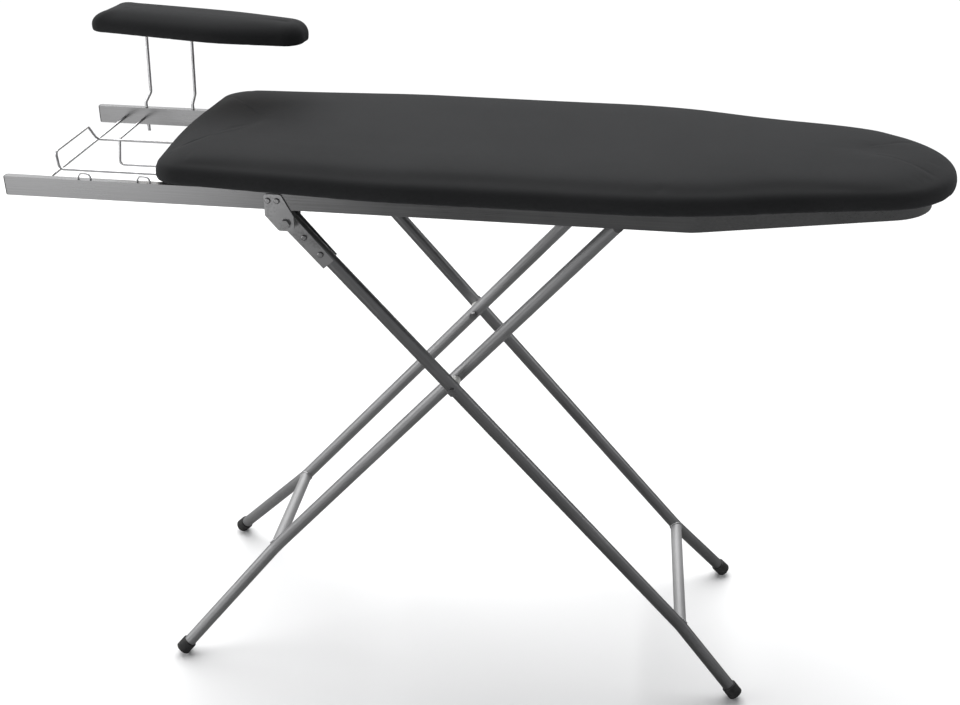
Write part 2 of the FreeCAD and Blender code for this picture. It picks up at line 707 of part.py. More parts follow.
# ---------------------------------------------------------------- crossing of the legs
def make_cross_bolts():
    """Bolts through both legs where they cross, with a spacer and a nut each."""
    outer_line = line_at("outer", OUTER_UPPER)
    inner_line = line_at("inner", INNER_UPPER)
    reach = OUTER_UPPER
    outside = outer_line + size("tube_radius")
    inside = inner_line - size("tube_radius")
    bolts = []
    nuts = []
    spacers = []
    for side in SIDES.values():
        head = hexagon_along_y(size("bolt_head"), side * outside,
                               side * (outside + size("bolt_head_height")), reach)
        shank = cylinder_along_y(size("bolt_radius"), side * outside, side * (inside - 8.5), reach)
        bolts.append(head.fuse(shank))
        nut = hexagon_along_y(size("bolt_head"), side * (inside - 0.4), side * (inside - 6.9), reach)
        nuts.append(nut.cut(shank))
        ring = cylinder_along_y(8, side * (outer_line - size("tube_radius") - 0.4),
                                side * (inner_line + size("tube_radius") + 0.4), reach)
        spacers.append(ring.cut(shank))
    solid_part("cross_bolts", group(bolts), OUTER_PLACE)
    solid_part("cross_nuts", group(nuts), OUTER_PLACE)
    solid_part("cross_spacers", group(spacers), OUTER_PLACE)


# ---------------------------------------------------------------- height guide and lock
def make_guide(name):
    """Slotted angle under the board; the inner legs' axle runs along its slot."""
    side = SIDES[name]
    body = new_body("height_guide_" + name)
    line = size("guide_line")
    flange = 16
    sketch = new_sketch(body, "YZ_Plane", size("guide_left"))
    top = "Sizes.rail_bottom + Sizes.rail_height"
    sheet_t = "Sizes.guide_sheet"
    outline = [("%d * Sizes.guide_line" % side, "Sizes.guide_bottom"),
               ("%d * Sizes.guide_line" % side, top),
               ("%d * (Sizes.guide_line + %g)" % (side, flange), top),
               ("%d * (Sizes.guide_line + %g)" % (side, flange), "%s - %s" % (top, sheet_t)),
               ("%d * (Sizes.guide_line + %s)" % (side, sheet_t), "%s - %s" % (top, sheet_t)),
               ("%d * (Sizes.guide_line + %s)" % (side, sheet_t), "Sizes.guide_bottom")]
    add_polygon(sketch, outline)
    add_pad(body, sketch, "Sizes.guide_right - Sizes.guide_left")
    slot = new_sketch(body, "XZ_Plane", -side * (line - 10))
    half = size("roller_radius") + size("slot_play")
    add_rectangle(slot, (AXLE.x - half, AXLE.z - half), (FOLDED_AXLE + half, AXLE.z + half))
    add_pocket(body, slot, 60, middle=True)
    add_fillet(body, half - 0.2, lambda edge: runs_along(edge, V(0, 1, 0))
               and abs(edge.CenterOfMass.z - AXLE.z) < half + 1)


def make_rack():
    """Toothed strip on edge between the guides, its teeth pointing down."""
    body = new_body("height_rack")
    sketch = new_sketch(body, "XZ_Plane", 0)
    top = "Sizes.rail_bottom + Sizes.rail_height"
    add_rectangle(sketch, ("Sizes.guide_left + 6", "Sizes.rack_bottom"),
                  ("Sizes.guide_right - 6", top))
    add_pad(body, sketch, "Sizes.rack_sheet", middle=True)
    notch = new_sketch(body, "XZ_Plane", 0)
    start = size("guide_left") + 34
    depth = size("rack_tooth")
    low = size("rack_bottom")
    add_polygon(notch, [(start, low - 1), (start, low + depth),
                        (start + depth, low + depth), (start + 1.6 * depth, low - 1)])
    pocket = add_pocket(body, notch, 20, middle=True)
    pattern = body.newObject("PartDesign::LinearPattern", "rack_teeth")
    pattern.Originals = [pocket]
    axis = [item for item in body.Origin.OriginFeatures if item.Role == "X_Axis"][0]
    pattern.Direction = (axis, [""])
    count = int((size("guide_right") - size("guide_left") - 60) // size("rack_pitch"))
    pattern.Length = size("rack_pitch") * (count - 1)
    pattern.Occurrences = count
    body.Tip = pattern
    doc.recompute()


def make_axle():
    """Rod through the tops of the inner legs, with end caps and two guide rollers."""
    line = size("inner_top_line") + size("tube_radius")
    rod = cylinder_along_y(size("axle_radius"), -line - 3, line + 3)
    solid_part("top_axle", rod, INNER_PLACE)
    caps = []
    rollers = []
    for side in SIDES.values():
        cap = cylinder_along_y(size("axle_radius") + 1.5, side * (line + 0.1), side * (line + 4))
        caps.append(cap.cut(rod))
        middle = size("guide_line") + size("guide_sheet") / 2
        roller = cylinder_along_y(size("roller_radius"), side * (middle - 3.5), side * (middle + 3.5))
        flange = cylinder_along_y(size("roller_radius") + 3, side * (middle + 2),
                                  side * (middle + 3.5))
        rollers.append(roller.fuse(flange).cut(rod))
    solid_part("axle_caps", group(caps), INNER_PLACE)
    solid_part("guide_rollers", group(rollers), INNER_PLACE)


def make_lock_lever():
    """Release lever that hangs on the axle: hub, upright pawl, arm and moulded grip."""
    width = size("lever_width")
    hub = cylinder_along_y(size("lever_hub"), -width / 2, width / 2)
    pawl_top = size("rack_bottom") - AXLE.z - 0.8
    pawl = Part.makeBox(7, width / 2, pawl_top, V(-3.5, -width / 4, 0))
    reach = size("lever_reach")
    arm = Part.makeBox(reach, width / 2, 9, V(0, -width / 4, -4.5))
    arm.Placement = FreeCAD.Placement(V(), FreeCAD.Rotation(V(0, 1, 0), 180 - size("inner_angle")))
    lever = hub.fuse([pawl, arm])
    bore = cylinder_along_y(size("lever_hole"), -width, width)
    solid_part("lock_lever", lever.cut(bore), FreeCAD.Placement(AXLE, FreeCAD.Rotation()))
    grip = Part.makeBox(30, 16, 12, V(reach - 27, -8, -6))
    grip = grip.makeFillet(5, grip.Edges)
    slit = Part.makeBox(27.2, width / 2 + 0.1, 9.1, V(reach - 27.2, -width / 4 - 0.05, -4.55))
    solid_part("lever_grip", grip.cut(slit), INNER_PLACE)


def make_lever_spring():
    """Coil spring on the axle that turns the pawl up towards the rack.

    Its round wire is drawn with eight flats, so that the coil stays a light solid.
    """
    coils = 4
    flats = 8
    wire = 0.9
    radius = size("axle_radius") + wire + 0.5
    pitch = 2 * wire + 0.35
    helix = Part.Wire(Part.makeHelix(pitch, pitch * coils, radius).Edges)
    first = helix.Edges[0]
    start = first.valueAt(first.FirstParameter)
    square_on = FreeCAD.Rotation(V(0, 0, 1), first.tangentAt(first.FirstParameter))
    rim = [start + square_on.multVec(V(wire * math.cos(turn), wire * math.sin(turn), 0))
           for turn in (2 * math.pi * step / flats for step in range(flats))]
    spring = helix.makePipeShell([Part.makePolygon(rim + rim[:1])], True, True)
    spring.Placement = FreeCAD.Placement(V(0, size("lever_width") / 2 + 1.2 + pitch * coils, 0),
                                         FreeCAD.Rotation(V(1, 0, 0), 90))
    holder = solid_part("lever_spring", spring)
    holder.Placement = INNER_PLACE * holder.Placement


# ---------------------------------------------------------------- iron rest
def make_iron_rest():
    """Two rods between the rails, a wire loop with an upturned lip, and a lower wire."""
    inner = size("rail_line") - size("rail_width") / 2
    reach = inner + size("rail_wall") + 3
    rod = size("rod_radius")
    level = size("rod_height")
    front = REST_FRONT
    rear = REST_REAR
    solid_part("rest_front_rod", cylinder_along_y(rod, -reach, reach, front, level))
    solid_part("rest_rear_rod", cylinder_along_y(rod, -reach, reach, rear, level))
    wire = size("rest_wire_radius")
    lie = level + rod + wire
    lip = front + 5
    top = lie + size("rest_lip_height")
    loop = [V(rear + 6, REST_NEAR, lie), V(lip, REST_NEAR, lie), V(lip - 2, REST_NEAR, top),
            V(lip - 2, REST_FAR - 24, top), V(lip, REST_FAR, lie), V(rear + 6, REST_FAR, lie)]
    wire_part("iron_rest_loop", loop, [8, 7, 9, 8], wire)
    side_x = front + 36
    lower = [V(side_x, reach, level), V(side_x, REST_FAR + 21, level),
             V(side_x - 6, REST_FAR + 21, level - REST_DROP),
             V(rear + 32, REST_FAR + 21, level - REST_DROP),
             V(rear + 32, REST_FAR + 21, RAIL_TOP)]
    wire_part("lower_rest_wire", lower, [7, 7, 7], wire)


def make_rail_staples():
    """Two small wire arches on top of the near rail."""
    arches = []
    for x in STAPLES:
        ends = [V(x + reach, -size("rail_line"), RAIL_TOP - 4) for reach in (-10.5, 10.5)]
        crown = V(0, 0, 13)
        route = [ends[0], ends[0] + crown + V(2, 0, 0), ends[1] + crown - V(2, 0, 0), ends[1]]
        path = Part.Wire([piece.toShape() for piece in rounded_route(route, [7, 7])])
        section = Part.Wire([Part.Circle(route[0], route[1] - route[0], 1.5).toShape()])
        arches.append(path.makePipeShell([section], True, False))
    solid_part("rail_staples", group(arches))


# ---------------------------------------------------------------- sleeve board
SLEEVE_TURN = FreeCAD.Rotation(V(0, 0, 1), size("sleeve_yaw")) * FreeCAD.Rotation(
    V(0, 1, 0), size("sleeve_tilt"))
SLEEVE_PLACE = FreeCAD.Placement(
    V(size("sleeve_left"), size("sleeve_line"), size("sleeve_bottom")), SLEEVE_TURN)


def sleeve_slab(label, inset, bottom, top):
    """Slab with the sleeve board's plan, in its own frame from the broad end."""
    body = new_body(label)
    sketch = new_sketch(body, "XY_Plane", number(bottom))
    shrink = number(inset)
    length = size("sleeve_length")
    corners = [V(length - shrink, size("sleeve_nose_half") - shrink / 2, 0),
               V(size("sleeve_waist"), size("sleeve_waist_half") - shrink, 0),
               V(shrink, size("sleeve_rear_half") - shrink, 0)]
    nose, waist, rear = 34, 260, 18
    add_rounded_outline(sketch, corners, [nose - shrink / 2, waist, rear - shrink],
                        size("sleeve_bow"), size("sleeve_bow_radius"))
    add_pad(body, sketch, "%s - (%s)" % (top, bottom))
    body.Placement = SLEEVE_PLACE
    return body


def make_sleeve_board():
    inset = "Sizes.sleeve_inset"
    sleeve_slab("sleeve_base", inset, "Sizes.cover_thick", "Sizes.sleeve_base_thick")
    sleeve_slab("sleeve_pad", inset, "Sizes.sleeve_base_thick",
                "Sizes.sleeve_thick - Sizes.cover_thick")
    skin = sleeve_slab("sleeve_cover_blank", "0", "0", "Sizes.sleeve_thick")
    inside = sleeve_slab("sleeve_inside", "(Sizes.sleeve_inset - 0.2)", "Sizes.cover_thick",
                         "Sizes.sleeve_thick - Sizes.cover_thick")
    mouth = sleeve_slab("sleeve_mouth", "16", "-2", "Sizes.cover_thick + 1")
    for blank in (skin, inside, mouth):
        parts.remove(blank)
    hollow = doc.addObject("Part::MultiFuse", "sleeve_hollow")
    hollow.Shapes = [inside, mouth]
    cover = doc.addObject("Part::Cut", "sleeve_cover")
    cover.Base = skin
    cover.Tool = hollow
    doc.recompute()
    keep(cover, "sleeve_cover")


def sleeve_underside(x, y):
    """Height of the base plate's underside above one place on the floor."""
    low = SLEEVE_PLACE.multVec(V(0, 0, size("cover_thick")))
    normal = SLEEVE_TURN.multVec(V(0, 0, 1))
    return low.z - (normal.x * (x - low.x) + normal.y * (y - low.y)) / normal.z


def make_sleeve_wires():
    """Two wires that drop through the far rail; each steps sideways above the rail."""
    wire = size("sleeve_wire_radius")
    line = size("rail_line")
    blocks = []
    screws = []
    for name, hole, step, low in (("left", SLEEVE_HOLES[0], 11.5, 888),
                                  ("right", SLEEVE_HOLES[1], 6.5, 906)):
        top_x = hole + step + 5
        top = sleeve_underside(top_x, line) - 0.2
        route = [V(hole, line, low), V(hole, line, 941), V(hole + step, line, 960),
                 V(top_x, line, top)]
        wire_part("sleeve_wire_" + name, route, [10, 14], wire)
        block = Part.makeBox(24, 24, 9, V(top_x - 12, line - 12, top - 9.2))
        block = block.makeFillet(3, [e for e in block.Edges
                                     if abs(e.tangentAt(e.FirstParameter).z) > 0.99])
        blocks.append(block.cut(Part.makeCylinder(wire, 40, V(top_x, line, top - 20))))
        for shift in (-7.5, 7.5):
            head = Part.makeCylinder(3.4, 2, V(top_x + shift, line, top - 11.2))
            shank = Part.makeCylinder(1.6, 14, V(top_x + shift, line, top - 9.5))
            screws.append(head.fuse(shank))
    solid_part("sleeve_wire_sockets", group(blocks))
    solid_part("sleeve_screws", group(screws))


# ---------------------------------------------------------------- the whole object
make_rail_frame()
make_rail_plugs()
make_deck()
make_board_pad()
make_board_cover()
for label, (x, half_length) in BEARERS.items():
    make_bearer(label, x, half_length)
make_deck_rivets()
for kind in ("outer", "inner"):
    reach = OUTER_UPPER if kind == "outer" else INNER_UPPER
    top_hole = "Sizes.bolt_hole" if kind == "outer" else "Sizes.axle_radius"
    cross_hole = "Sizes.bolt_radius" if kind == "outer" else "Sizes.bolt_hole"
    for name in SIDES:
        make_leg(kind, name, ((0, top_hole), (reach, cross_hole)))
        make_foot_cap(kind, name)
    make_crossbar(kind)
    make_tube_plugs(kind)
for name in SIDES:
    make_saddle(name)
    make_leg_shoe(name)
    make_guide(name)
make_saddle_rivets()
make_pivot_bolts()
make_shoe_rivets()
make_cross_bolts()
make_rack()
make_axle()
make_lock_lever()
make_lever_spring()
make_iron_rest()
make_rail_staples()
make_sleeve_board()
make_sleeve_wires()
doc.recompute()

for item in doc.Objects:
    if "Invalid" in item.State or "Error" in item.State:
        raise RuntimeError("%s failed: %s" % (item.Label, item.State))
for item in parts:
    if item.Shape.isNull() or not item.Shape.isValid() or not item.Shape.Solids:
        raise RuntimeError("%s has no sound solid" % item.Label)

os.makedirs("parts", exist_ok=True)
for item in parts:
    item.Shape.exportStep("parts/%s.step" % item.Label)
print(len(parts), "sub-parts")
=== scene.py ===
import json
import math

import bmesh
import bpy
import numpy as np
from mathutils import Matrix, Vector


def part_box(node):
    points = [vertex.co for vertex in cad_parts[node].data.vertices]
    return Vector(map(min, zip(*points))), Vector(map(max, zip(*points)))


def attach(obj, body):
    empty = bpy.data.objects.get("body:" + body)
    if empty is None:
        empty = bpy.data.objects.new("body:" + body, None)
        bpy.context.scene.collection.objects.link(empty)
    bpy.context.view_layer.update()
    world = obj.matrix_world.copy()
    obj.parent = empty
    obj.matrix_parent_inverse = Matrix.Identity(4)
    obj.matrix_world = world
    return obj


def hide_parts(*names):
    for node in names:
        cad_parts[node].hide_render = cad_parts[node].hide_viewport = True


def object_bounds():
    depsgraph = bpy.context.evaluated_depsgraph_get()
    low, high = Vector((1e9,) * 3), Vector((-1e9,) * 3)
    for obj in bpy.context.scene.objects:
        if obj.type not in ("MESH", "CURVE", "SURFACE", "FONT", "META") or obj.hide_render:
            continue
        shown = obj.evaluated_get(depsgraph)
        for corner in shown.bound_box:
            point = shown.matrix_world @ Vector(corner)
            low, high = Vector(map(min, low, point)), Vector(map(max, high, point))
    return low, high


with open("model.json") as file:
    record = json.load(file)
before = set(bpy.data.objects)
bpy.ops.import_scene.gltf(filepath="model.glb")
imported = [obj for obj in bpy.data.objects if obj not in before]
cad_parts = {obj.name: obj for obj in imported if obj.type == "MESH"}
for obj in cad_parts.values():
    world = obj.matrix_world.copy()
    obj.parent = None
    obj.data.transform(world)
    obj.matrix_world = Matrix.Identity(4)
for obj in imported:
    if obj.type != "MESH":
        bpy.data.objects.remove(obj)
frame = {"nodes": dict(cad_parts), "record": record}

# Folding ironing board with a lift-off sleeve board. Metres, in the frame of the CAD model:
# +X towards the rounded nose, +Y to the far rail, +Z up, the floor at z = 0.

scene = bpy.context.scene
nodes = frame["nodes"]
cad_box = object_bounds()

LEG_LEAN = math.radians(49)
TUBE_RADIUS = 0.011
# the sleeve board is turned about Z, then tilted about its own width
SLEEVE_YAW = math.radians(-5.7)
SLEEVE_TILT = math.radians(1.3)


# ---------------------------------------------------------------- camera, floor, lights
def look(position, yaw, pitch, roll, lens):
    """Camera at a place, turned by yaw about Z, pitched down and rolled."""
    forward = Vector((math.sin(yaw) * math.cos(pitch), math.cos(yaw) * math.cos(pitch),
                      -math.sin(pitch)))
    level = Vector((math.cos(yaw), -math.sin(yaw), 0))
    above = level.cross(forward)
    right = math.cos(roll) * level + math.sin(roll) * above
    up = -math.sin(roll) * level + math.cos(roll) * above
    data = bpy.data.cameras.new("camera")
    data.lens = lens
    data.sensor_width = 36
    camera = bpy.data.objects.new("camera", data)
    camera.matrix_world = Matrix.Translation(position) @ Matrix(
        (right, up, -forward)).transposed().to_4x4()
    scene.collection.objects.link(camera)
    scene.camera = camera


def area_light(name, place, aim, width, height, power):
    data = bpy.data.lights.new(name, "AREA")
    data.shape = "RECTANGLE"
    data.size = width
    data.size_y = height
    data.energy = power
    lamp = bpy.data.objects.new(name, data)
    lamp.location = place
    lamp.rotation_mode = "QUATERNION"
    lamp.rotation_quaternion = (Vector(aim) - Vector(place)).to_track_quat("-Z", "Y")
    lamp.visible_camera = False
    scene.collection.objects.link(lamp)


def sky_light(strength, lean, soften):
    """One very soft overhead light, the same everywhere, that keeps the floor evenly pale."""
    data = bpy.data.lights.new("overhead", "SUN")
    data.energy = strength
    data.angle = soften
    lamp = bpy.data.objects.new("overhead", data)
    lamp.rotation_euler = lean
    scene.collection.objects.link(lamp)


def pale_floor():
    """Pale matt floor; glossy rays see a dark grey in its place, a painted dark reflection that
    makes polished metal darker.
    """
    bpy.ops.mesh.primitive_plane_add(size=24)
    floor = bpy.context.object
    floor.name = "floor"
    floor.location.z = cad_box[0].z - 0.0005
    paint = bpy.data.materials.new("floor_paint")
    paint.use_nodes = True
    tree = paint.node_tree
    shader = tree.nodes["Principled BSDF"]
    shader.inputs["Base Color"].default_value = (0.86, 0.86, 0.86, 1)
    shader.inputs["Roughness"].default_value = 0.9
    # painted dark reflection: polished metal reflects this dark grey instead of the pale floor
    painted_dark_reflection = tree.nodes.new("ShaderNodeBsdfDiffuse")
    painted_dark_reflection.inputs["Color"].default_value = (0.16, 0.16, 0.16, 1)
    ray = tree.nodes.new("ShaderNodeLightPath")
    mix = tree.nodes.new("ShaderNodeMixShader")
    tree.links.new(ray.outputs["Is Glossy Ray"], mix.inputs[0])
    tree.links.new(shader.outputs["BSDF"], mix.inputs[1])
    tree.links.new(painted_dark_reflection.outputs["BSDF"], mix.inputs[2])
    tree.links.new(mix.outputs["Shader"], tree.nodes["Material Output"].inputs["Surface"])
    floor.data.materials.append(paint)


def studio():
    """Soft light mostly from above and behind, a low card at the left, a grey surround."""
    board = Vector((0, 0, 0.9))
    sky_light(3.4, (math.radians(-31), math.radians(-8), 0), math.radians(60))
    area_light("back", (-0.4, 2.3, 1.9), board, 3.8, 0.8, 10)
    area_light("left_card", (-1.58, -2.2, 0.3), Vector((-0.5, 0, 0.9)), 1.3, 0.6, 6)
    area_light("left_wall", (-2.6, -0.4, 1.3), Vector((0, 0, 0.5)), 1.5, 1.6, 22)
    area_light("right_card", (2.4, 0.5, 1.6), board, 0.5, 1.8, 4)
    area_light("rear_card", (-0.9, 2.7, 0.35), Vector((-0.1, 0, 0.9)), 2.2, 0.5, 8)
    world = bpy.data.worlds.new("studio")
    world.use_nodes = True
    world.node_tree.nodes["Background"].inputs["Color"].default_value = (0.80, 0.81, 0.83, 1)
    world.node_tree.nodes["Background"].inputs["Strength"].default_value = 0.33
    scene.world = world
    scene.view_settings.view_transform = "Standard"


look(Vector((0.1993, -1.8262, 1.5728)), -0.1101, 0.4969, 0.0143, 44.77)
pale_floor()
studio()


# ---------------------------------------------------------------- materials
class Paint:
    """A procedural material on one Principled shader, built up by small steps."""

    def __init__(self, name, metallic=0.0, ior=1.5, sheen=0.0, specular=0.5):
        self.material = bpy.data.materials.new(name)
        self.material.use_nodes = True
        self.tree = self.material.node_tree
        self.shader = self.tree.nodes["Principled BSDF"]
        self.set("Metallic", metallic)
        self.set("IOR", ior)
        self.set("Specular IOR Level", specular)
        self.set("Sheen Weight", sheen)
        self.height = None

    def set(self, socket, value):
        self.shader.inputs[socket].default_value = value

    def add(self, kind, **values):
        node = self.tree.nodes.new(kind)
        for name, value in values.items():
            setattr(node, name, value)
        return node

    def join(self, source, target):
        self.tree.links.new(source, target)

    def place(self, scale=(1, 1, 1), turn=(0, 0, 0)):
        """Object coordinates, stretched and turned."""
        where = self.add("ShaderNodeTexCoord")
        turned = self.add("ShaderNodeMapping")
        turned.vector_type = "TEXTURE"
        turned.inputs["Rotation"].default_value = turn
        stretched = self.add("ShaderNodeMapping")
        stretched.inputs["Scale"].default_value = scale
        self.join(where.outputs["Object"], turned.inputs["Vector"])
        self.join(turned.outputs["Vector"], stretched.inputs["Vector"])
        return stretched.outputs["Vector"]

    def noise(self, where, scale, detail=4.0, roughness=0.55):
        node = self.add("ShaderNodeTexNoise")
        node.inputs["Scale"].default_value = scale
        node.inputs["Detail"].default_value = detail
        node.inputs["Roughness"].default_value = roughness
        self.join(where, node.inputs["Vector"])
        return node.outputs["Fac"]

    def spread(self, value, low, high, into=None):
        """Maps a 0.3 to 0.7 texture value to a range, into a socket of the shader if named."""
        node = self.add("ShaderNodeMapRange")
        node.inputs["From Min"].default_value = 0.3
        node.inputs["From Max"].default_value = 0.7
        node.inputs["To Min"].default_value = low
        node.inputs["To Max"].default_value = high
        self.join(value, node.inputs["Value"])
        if into:
            self.join(node.outputs["Result"], self.shader.inputs[into])
        return node.outputs["Result"]

    def colour(self, value, dark, light):
        """Base colour between two greys or colours, by a texture value."""
        ramp = self.add("ShaderNodeValToRGB")
        ramp.color_ramp.elements[0].position = 0.32
        ramp.color_ramp.elements[0].color = (*dark, 1)
        ramp.color_ramp.elements[1].position = 0.68
        ramp.color_ramp.elements[1].color = (*light, 1)
        self.join(value, ramp.inputs["Fac"])
        self.join(ramp.outputs["Color"], self.shader.inputs["Base Color"])
        return ramp.outputs["Color"]

    def bump(self, value, depth, strength=1.0):
        """Adds one layer of relief, depth in metres."""
        node = self.add("ShaderNodeBump")
        node.inputs["Distance"].default_value = depth
        node.inputs["Strength"].default_value = strength
        self.join(value, node.inputs["Height"])
        if self.height:
            self.join(self.height, node.inputs["Normal"])
        self.height = node.outputs["Normal"]
        self.join(self.height, self.shader.inputs["Normal"])

    def sum(self, first, second, how="ADD", clamp=False):
        node = self.add("ShaderNodeMath", operation=how, use_clamp=clamp)
        for slot, value in zip(node.inputs, (first, second)):
            if isinstance(value, (int, float)):
                slot.default_value = value
            else:
                self.join(value, slot)
        return node.outputs[0]


def grey(value):
    return (value, value, value * 1.01)


def drawn_steel(name, dark, light, rough, turn=(0, 0, 0), along=(6, 700, 700), metallic=1.0):
    """Metal drawn or rolled in one direction, with faint streaks, smudges and fine pits."""
    paint = Paint(name, metallic=metallic)
    lines = paint.noise(paint.place(along, turn), 1.0, 3)
    smudge = paint.noise(paint.place((9, 9, 9)), 1.0, 5)
    both = paint.sum(paint.sum(lines, 0.55, "MULTIPLY"), paint.sum(smudge, 0.45, "MULTIPLY"))
    paint.colour(both, grey(dark), grey(light))
    paint.spread(both, rough[0], rough[1], "Roughness")
    paint.bump(lines, 0.00004, 0.5)
    paint.bump(paint.noise(paint.place(), 900, 2), 0.00002, 0.35)
    return paint.material


def plated_steel(name, dark, light, rough, cell=260):
    """Zinc plate: small crystals of slightly different grey, with handling marks."""
    paint = Paint(name, metallic=1.0)
    crystals = paint.add("ShaderNodeTexVoronoi")
    crystals.inputs["Scale"].default_value = cell
    paint.join(paint.place(), crystals.inputs["Vector"])
    cloud = paint.noise(paint.place(), 38, 6)
    both = paint.sum(paint.sum(crystals.outputs["Distance"], 0.35, "MULTIPLY"), cloud)
    paint.colour(both, grey(dark), grey(light))
    paint.spread(cloud, rough[0], rough[1], "Roughness")
    paint.bump(cloud, 0.00008, 0.5)
    return paint.material


def moulded_plastic(name, dark, light, rough, grain=1400):
    """Spark-eroded grain, a faint flow pattern and slightly scuffed gloss."""
    paint = Paint(name)
    flow = paint.noise(paint.place(), 45, 4)
    paint.colour(flow, dark, light)
    paint.spread(flow, rough[0], rough[1], "Roughness")
    paint.bump(paint.noise(paint.place(), grain, 2), 0.00006, 0.5)
    return paint.material


def foot_rubber():
    """Black rubber with a fine skin and grey scuffs."""
    paint = Paint("rubber_feet", specular=0.35)
    scuff = paint.noise(paint.place((1, 1, 2.5)), 130, 6, 0.65)
    paint.colour(scuff, (0.012, 0.012, 0.013), (0.042, 0.041, 0.040))
    paint.spread(scuff, 0.52, 0.82, "Roughness")
    paint.bump(paint.noise(paint.place(), 900, 3), 0.00015, 0.6)
    return paint.material


def woven_cloth(name, dark, light, thread=0.0011):
    """Plain weave in the three main planes, mixed by how the surface faces, with slubs."""
    paint = Paint(name, sheen=0.06, specular=0.16)
    paint.set("Sheen Roughness", 0.45)
    paint.set("Sheen Tint", (0.75, 0.77, 0.80, 1))
    where = paint.place()
    split = paint.add("ShaderNodeSeparateXYZ")
    paint.join(where, split.inputs["Vector"])
    ripple = {}
    for axis in "XYZ":
        phase = paint.sum(split.outputs[axis], math.pi / thread, "MULTIPLY")
        ripple[axis] = paint.sum(phase, 0.0, "SINE")
    facing = paint.add("ShaderNodeNewGeometry")
    normal = paint.add("ShaderNodeSeparateXYZ")
    paint.join(facing.outputs["Normal"], normal.inputs["Vector"])
    weave = None
    for across, down, out in (("X", "Y", "Z"), ("X", "Z", "Y"), ("Y", "Z", "X")):
        cross = paint.sum(ripple[across], ripple[down], "MULTIPLY")
        share = paint.sum(paint.sum(normal.outputs[out], 0.0, "ABSOLUTE"), 2.0, "POWER")
        layer = paint.sum(cross, share, "MULTIPLY")
        weave = layer if weave is None else paint.sum(weave, layer)
    threads = paint.sum(paint.sum(weave, 0.5, "MULTIPLY"), 0.5)
    slub = paint.noise(paint.place((1, 5, 1)), 210, 5, 0.7)
    wear = paint.noise(where, 5.5, 4)
    tone = paint.sum(paint.sum(threads, 0.28, "MULTIPLY"), paint.sum(slub, 0.42, "MULTIPLY"))
    tone = paint.sum(tone, paint.sum(wear, 0.30, "MULTIPLY"))
    paint.colour(tone, dark, light)
    paint.spread(slub, 0.78, 0.95, "Roughness")
    paint.bump(wear, 0.0006, 0.25)
    paint.bump(slub, 0.00025, 0.4)
    paint.bump(threads, 0.0002, 0.6)
    return paint.material


def raw_board():
    """Pressed board: long pale grain with short darker chips."""
    paint = Paint("pressed_board", specular=0.3)
    grain = paint.noise(paint.place((14, 160, 160), (0, 0, SLEEVE_YAW)), 1.0, 6, 0.65)
    paint.colour(grain, (0.34, 0.22, 0.12), (0.58, 0.43, 0.27))
    paint.spread(grain, 0.62, 0.8, "Roughness")
    paint.bump(grain, 0.0003, 0.5)
    return paint.material


OUTER_TUBE = drawn_steel("outer_tube", 0.24, 0.38, (0.28, 0.42), (0, LEG_LEAN, 0))
INNER_TUBE = drawn_steel("inner_tube", 0.30, 0.42, (0.42, 0.54), (0, -LEG_LEAN, 0), metallic=0.8)
BAR_TUBE = drawn_steel("bar_tube", 0.28, 0.36, (0.50, 0.62), (0, 0, 0), (700, 6, 700), 0.35)
RAIL = drawn_steel("rail_strip", 0.19, 0.29, (0.24, 0.38))
DECK = drawn_steel("deck_strip", 0.30, 0.42, (0.34, 0.5))
BRACKET = plated_steel("zinc_bracket", 0.24, 0.40, (0.28, 0.44))
FASTENER = plated_steel("plated_fastener", 0.20, 0.34, (0.22, 0.36), 420)
WIRE = plated_steel("bright_wire", 0.52, 0.74, (0.26, 0.40), 600)
WELD = plated_steel("weld_bead", 0.28, 0.50, (0.28, 0.5), 900)
RUBBER = foot_rubber()
PLUG = moulded_plastic("black_plug", (0.020, 0.020, 0.022), (0.040, 0.040, 0.042), (0.42, 0.6))
NYLON = moulded_plastic("white_nylon", (0.70, 0.70, 0.67), (0.82, 0.82, 0.79), (0.32, 0.45))
GRIP = moulded_plastic("black_grip", (0.016, 0.016, 0.018), (0.034, 0.034, 0.036), (0.4, 0.56))
CLOTH = woven_cloth("charcoal_cloth", (0.0104, 0.0107, 0.0112), (0.0245, 0.0248, 0.0257))
TUBE_PLUG = moulded_plastic("dark_plug", (0.045, 0.045, 0.046), (0.085, 0.085, 0.087), (0.4, 0.55))
WOOD = raw_board()

BY_SLOT = {"rail_steel": RAIL, "plug_plastic": PLUG, "leg_steel": OUTER_TUBE,
           "crossbar_steel": BAR_TUBE, "foot_rubber": RUBBER, "cover_cloth": CLOTH,
           "pad_felt": CLOTH, "deck_steel": DECK, "base_wood": WOOD, "bracket_steel": BRACKET,
           "fastener_steel": FASTENER, "bush_plastic": NYLON, "grip_plastic": GRIP,
           "wire_steel": WIRE}
BY_NODE = {"inner_leg_near": INNER_TUBE, "inner_leg_far": INNER_TUBE,
           "inner_tube_plugs": TUBE_PLUG, "outer_tube_plugs": TUBE_PLUG,
           "axle_caps": TUBE_PLUG}


def dress_cad():
    """Every CAD node gets the material of its slot, or its own."""
    for part in frame["record"]["subparts"]:
        node = nodes[part["node"]]
        finish = BY_NODE.get(part["node"], BY_SLOT[part["material_slot"]])
        if not node.material_slots:
            node.data.materials.append(finish)
        for place in node.material_slots:
            place.material = finish


dress_cad()


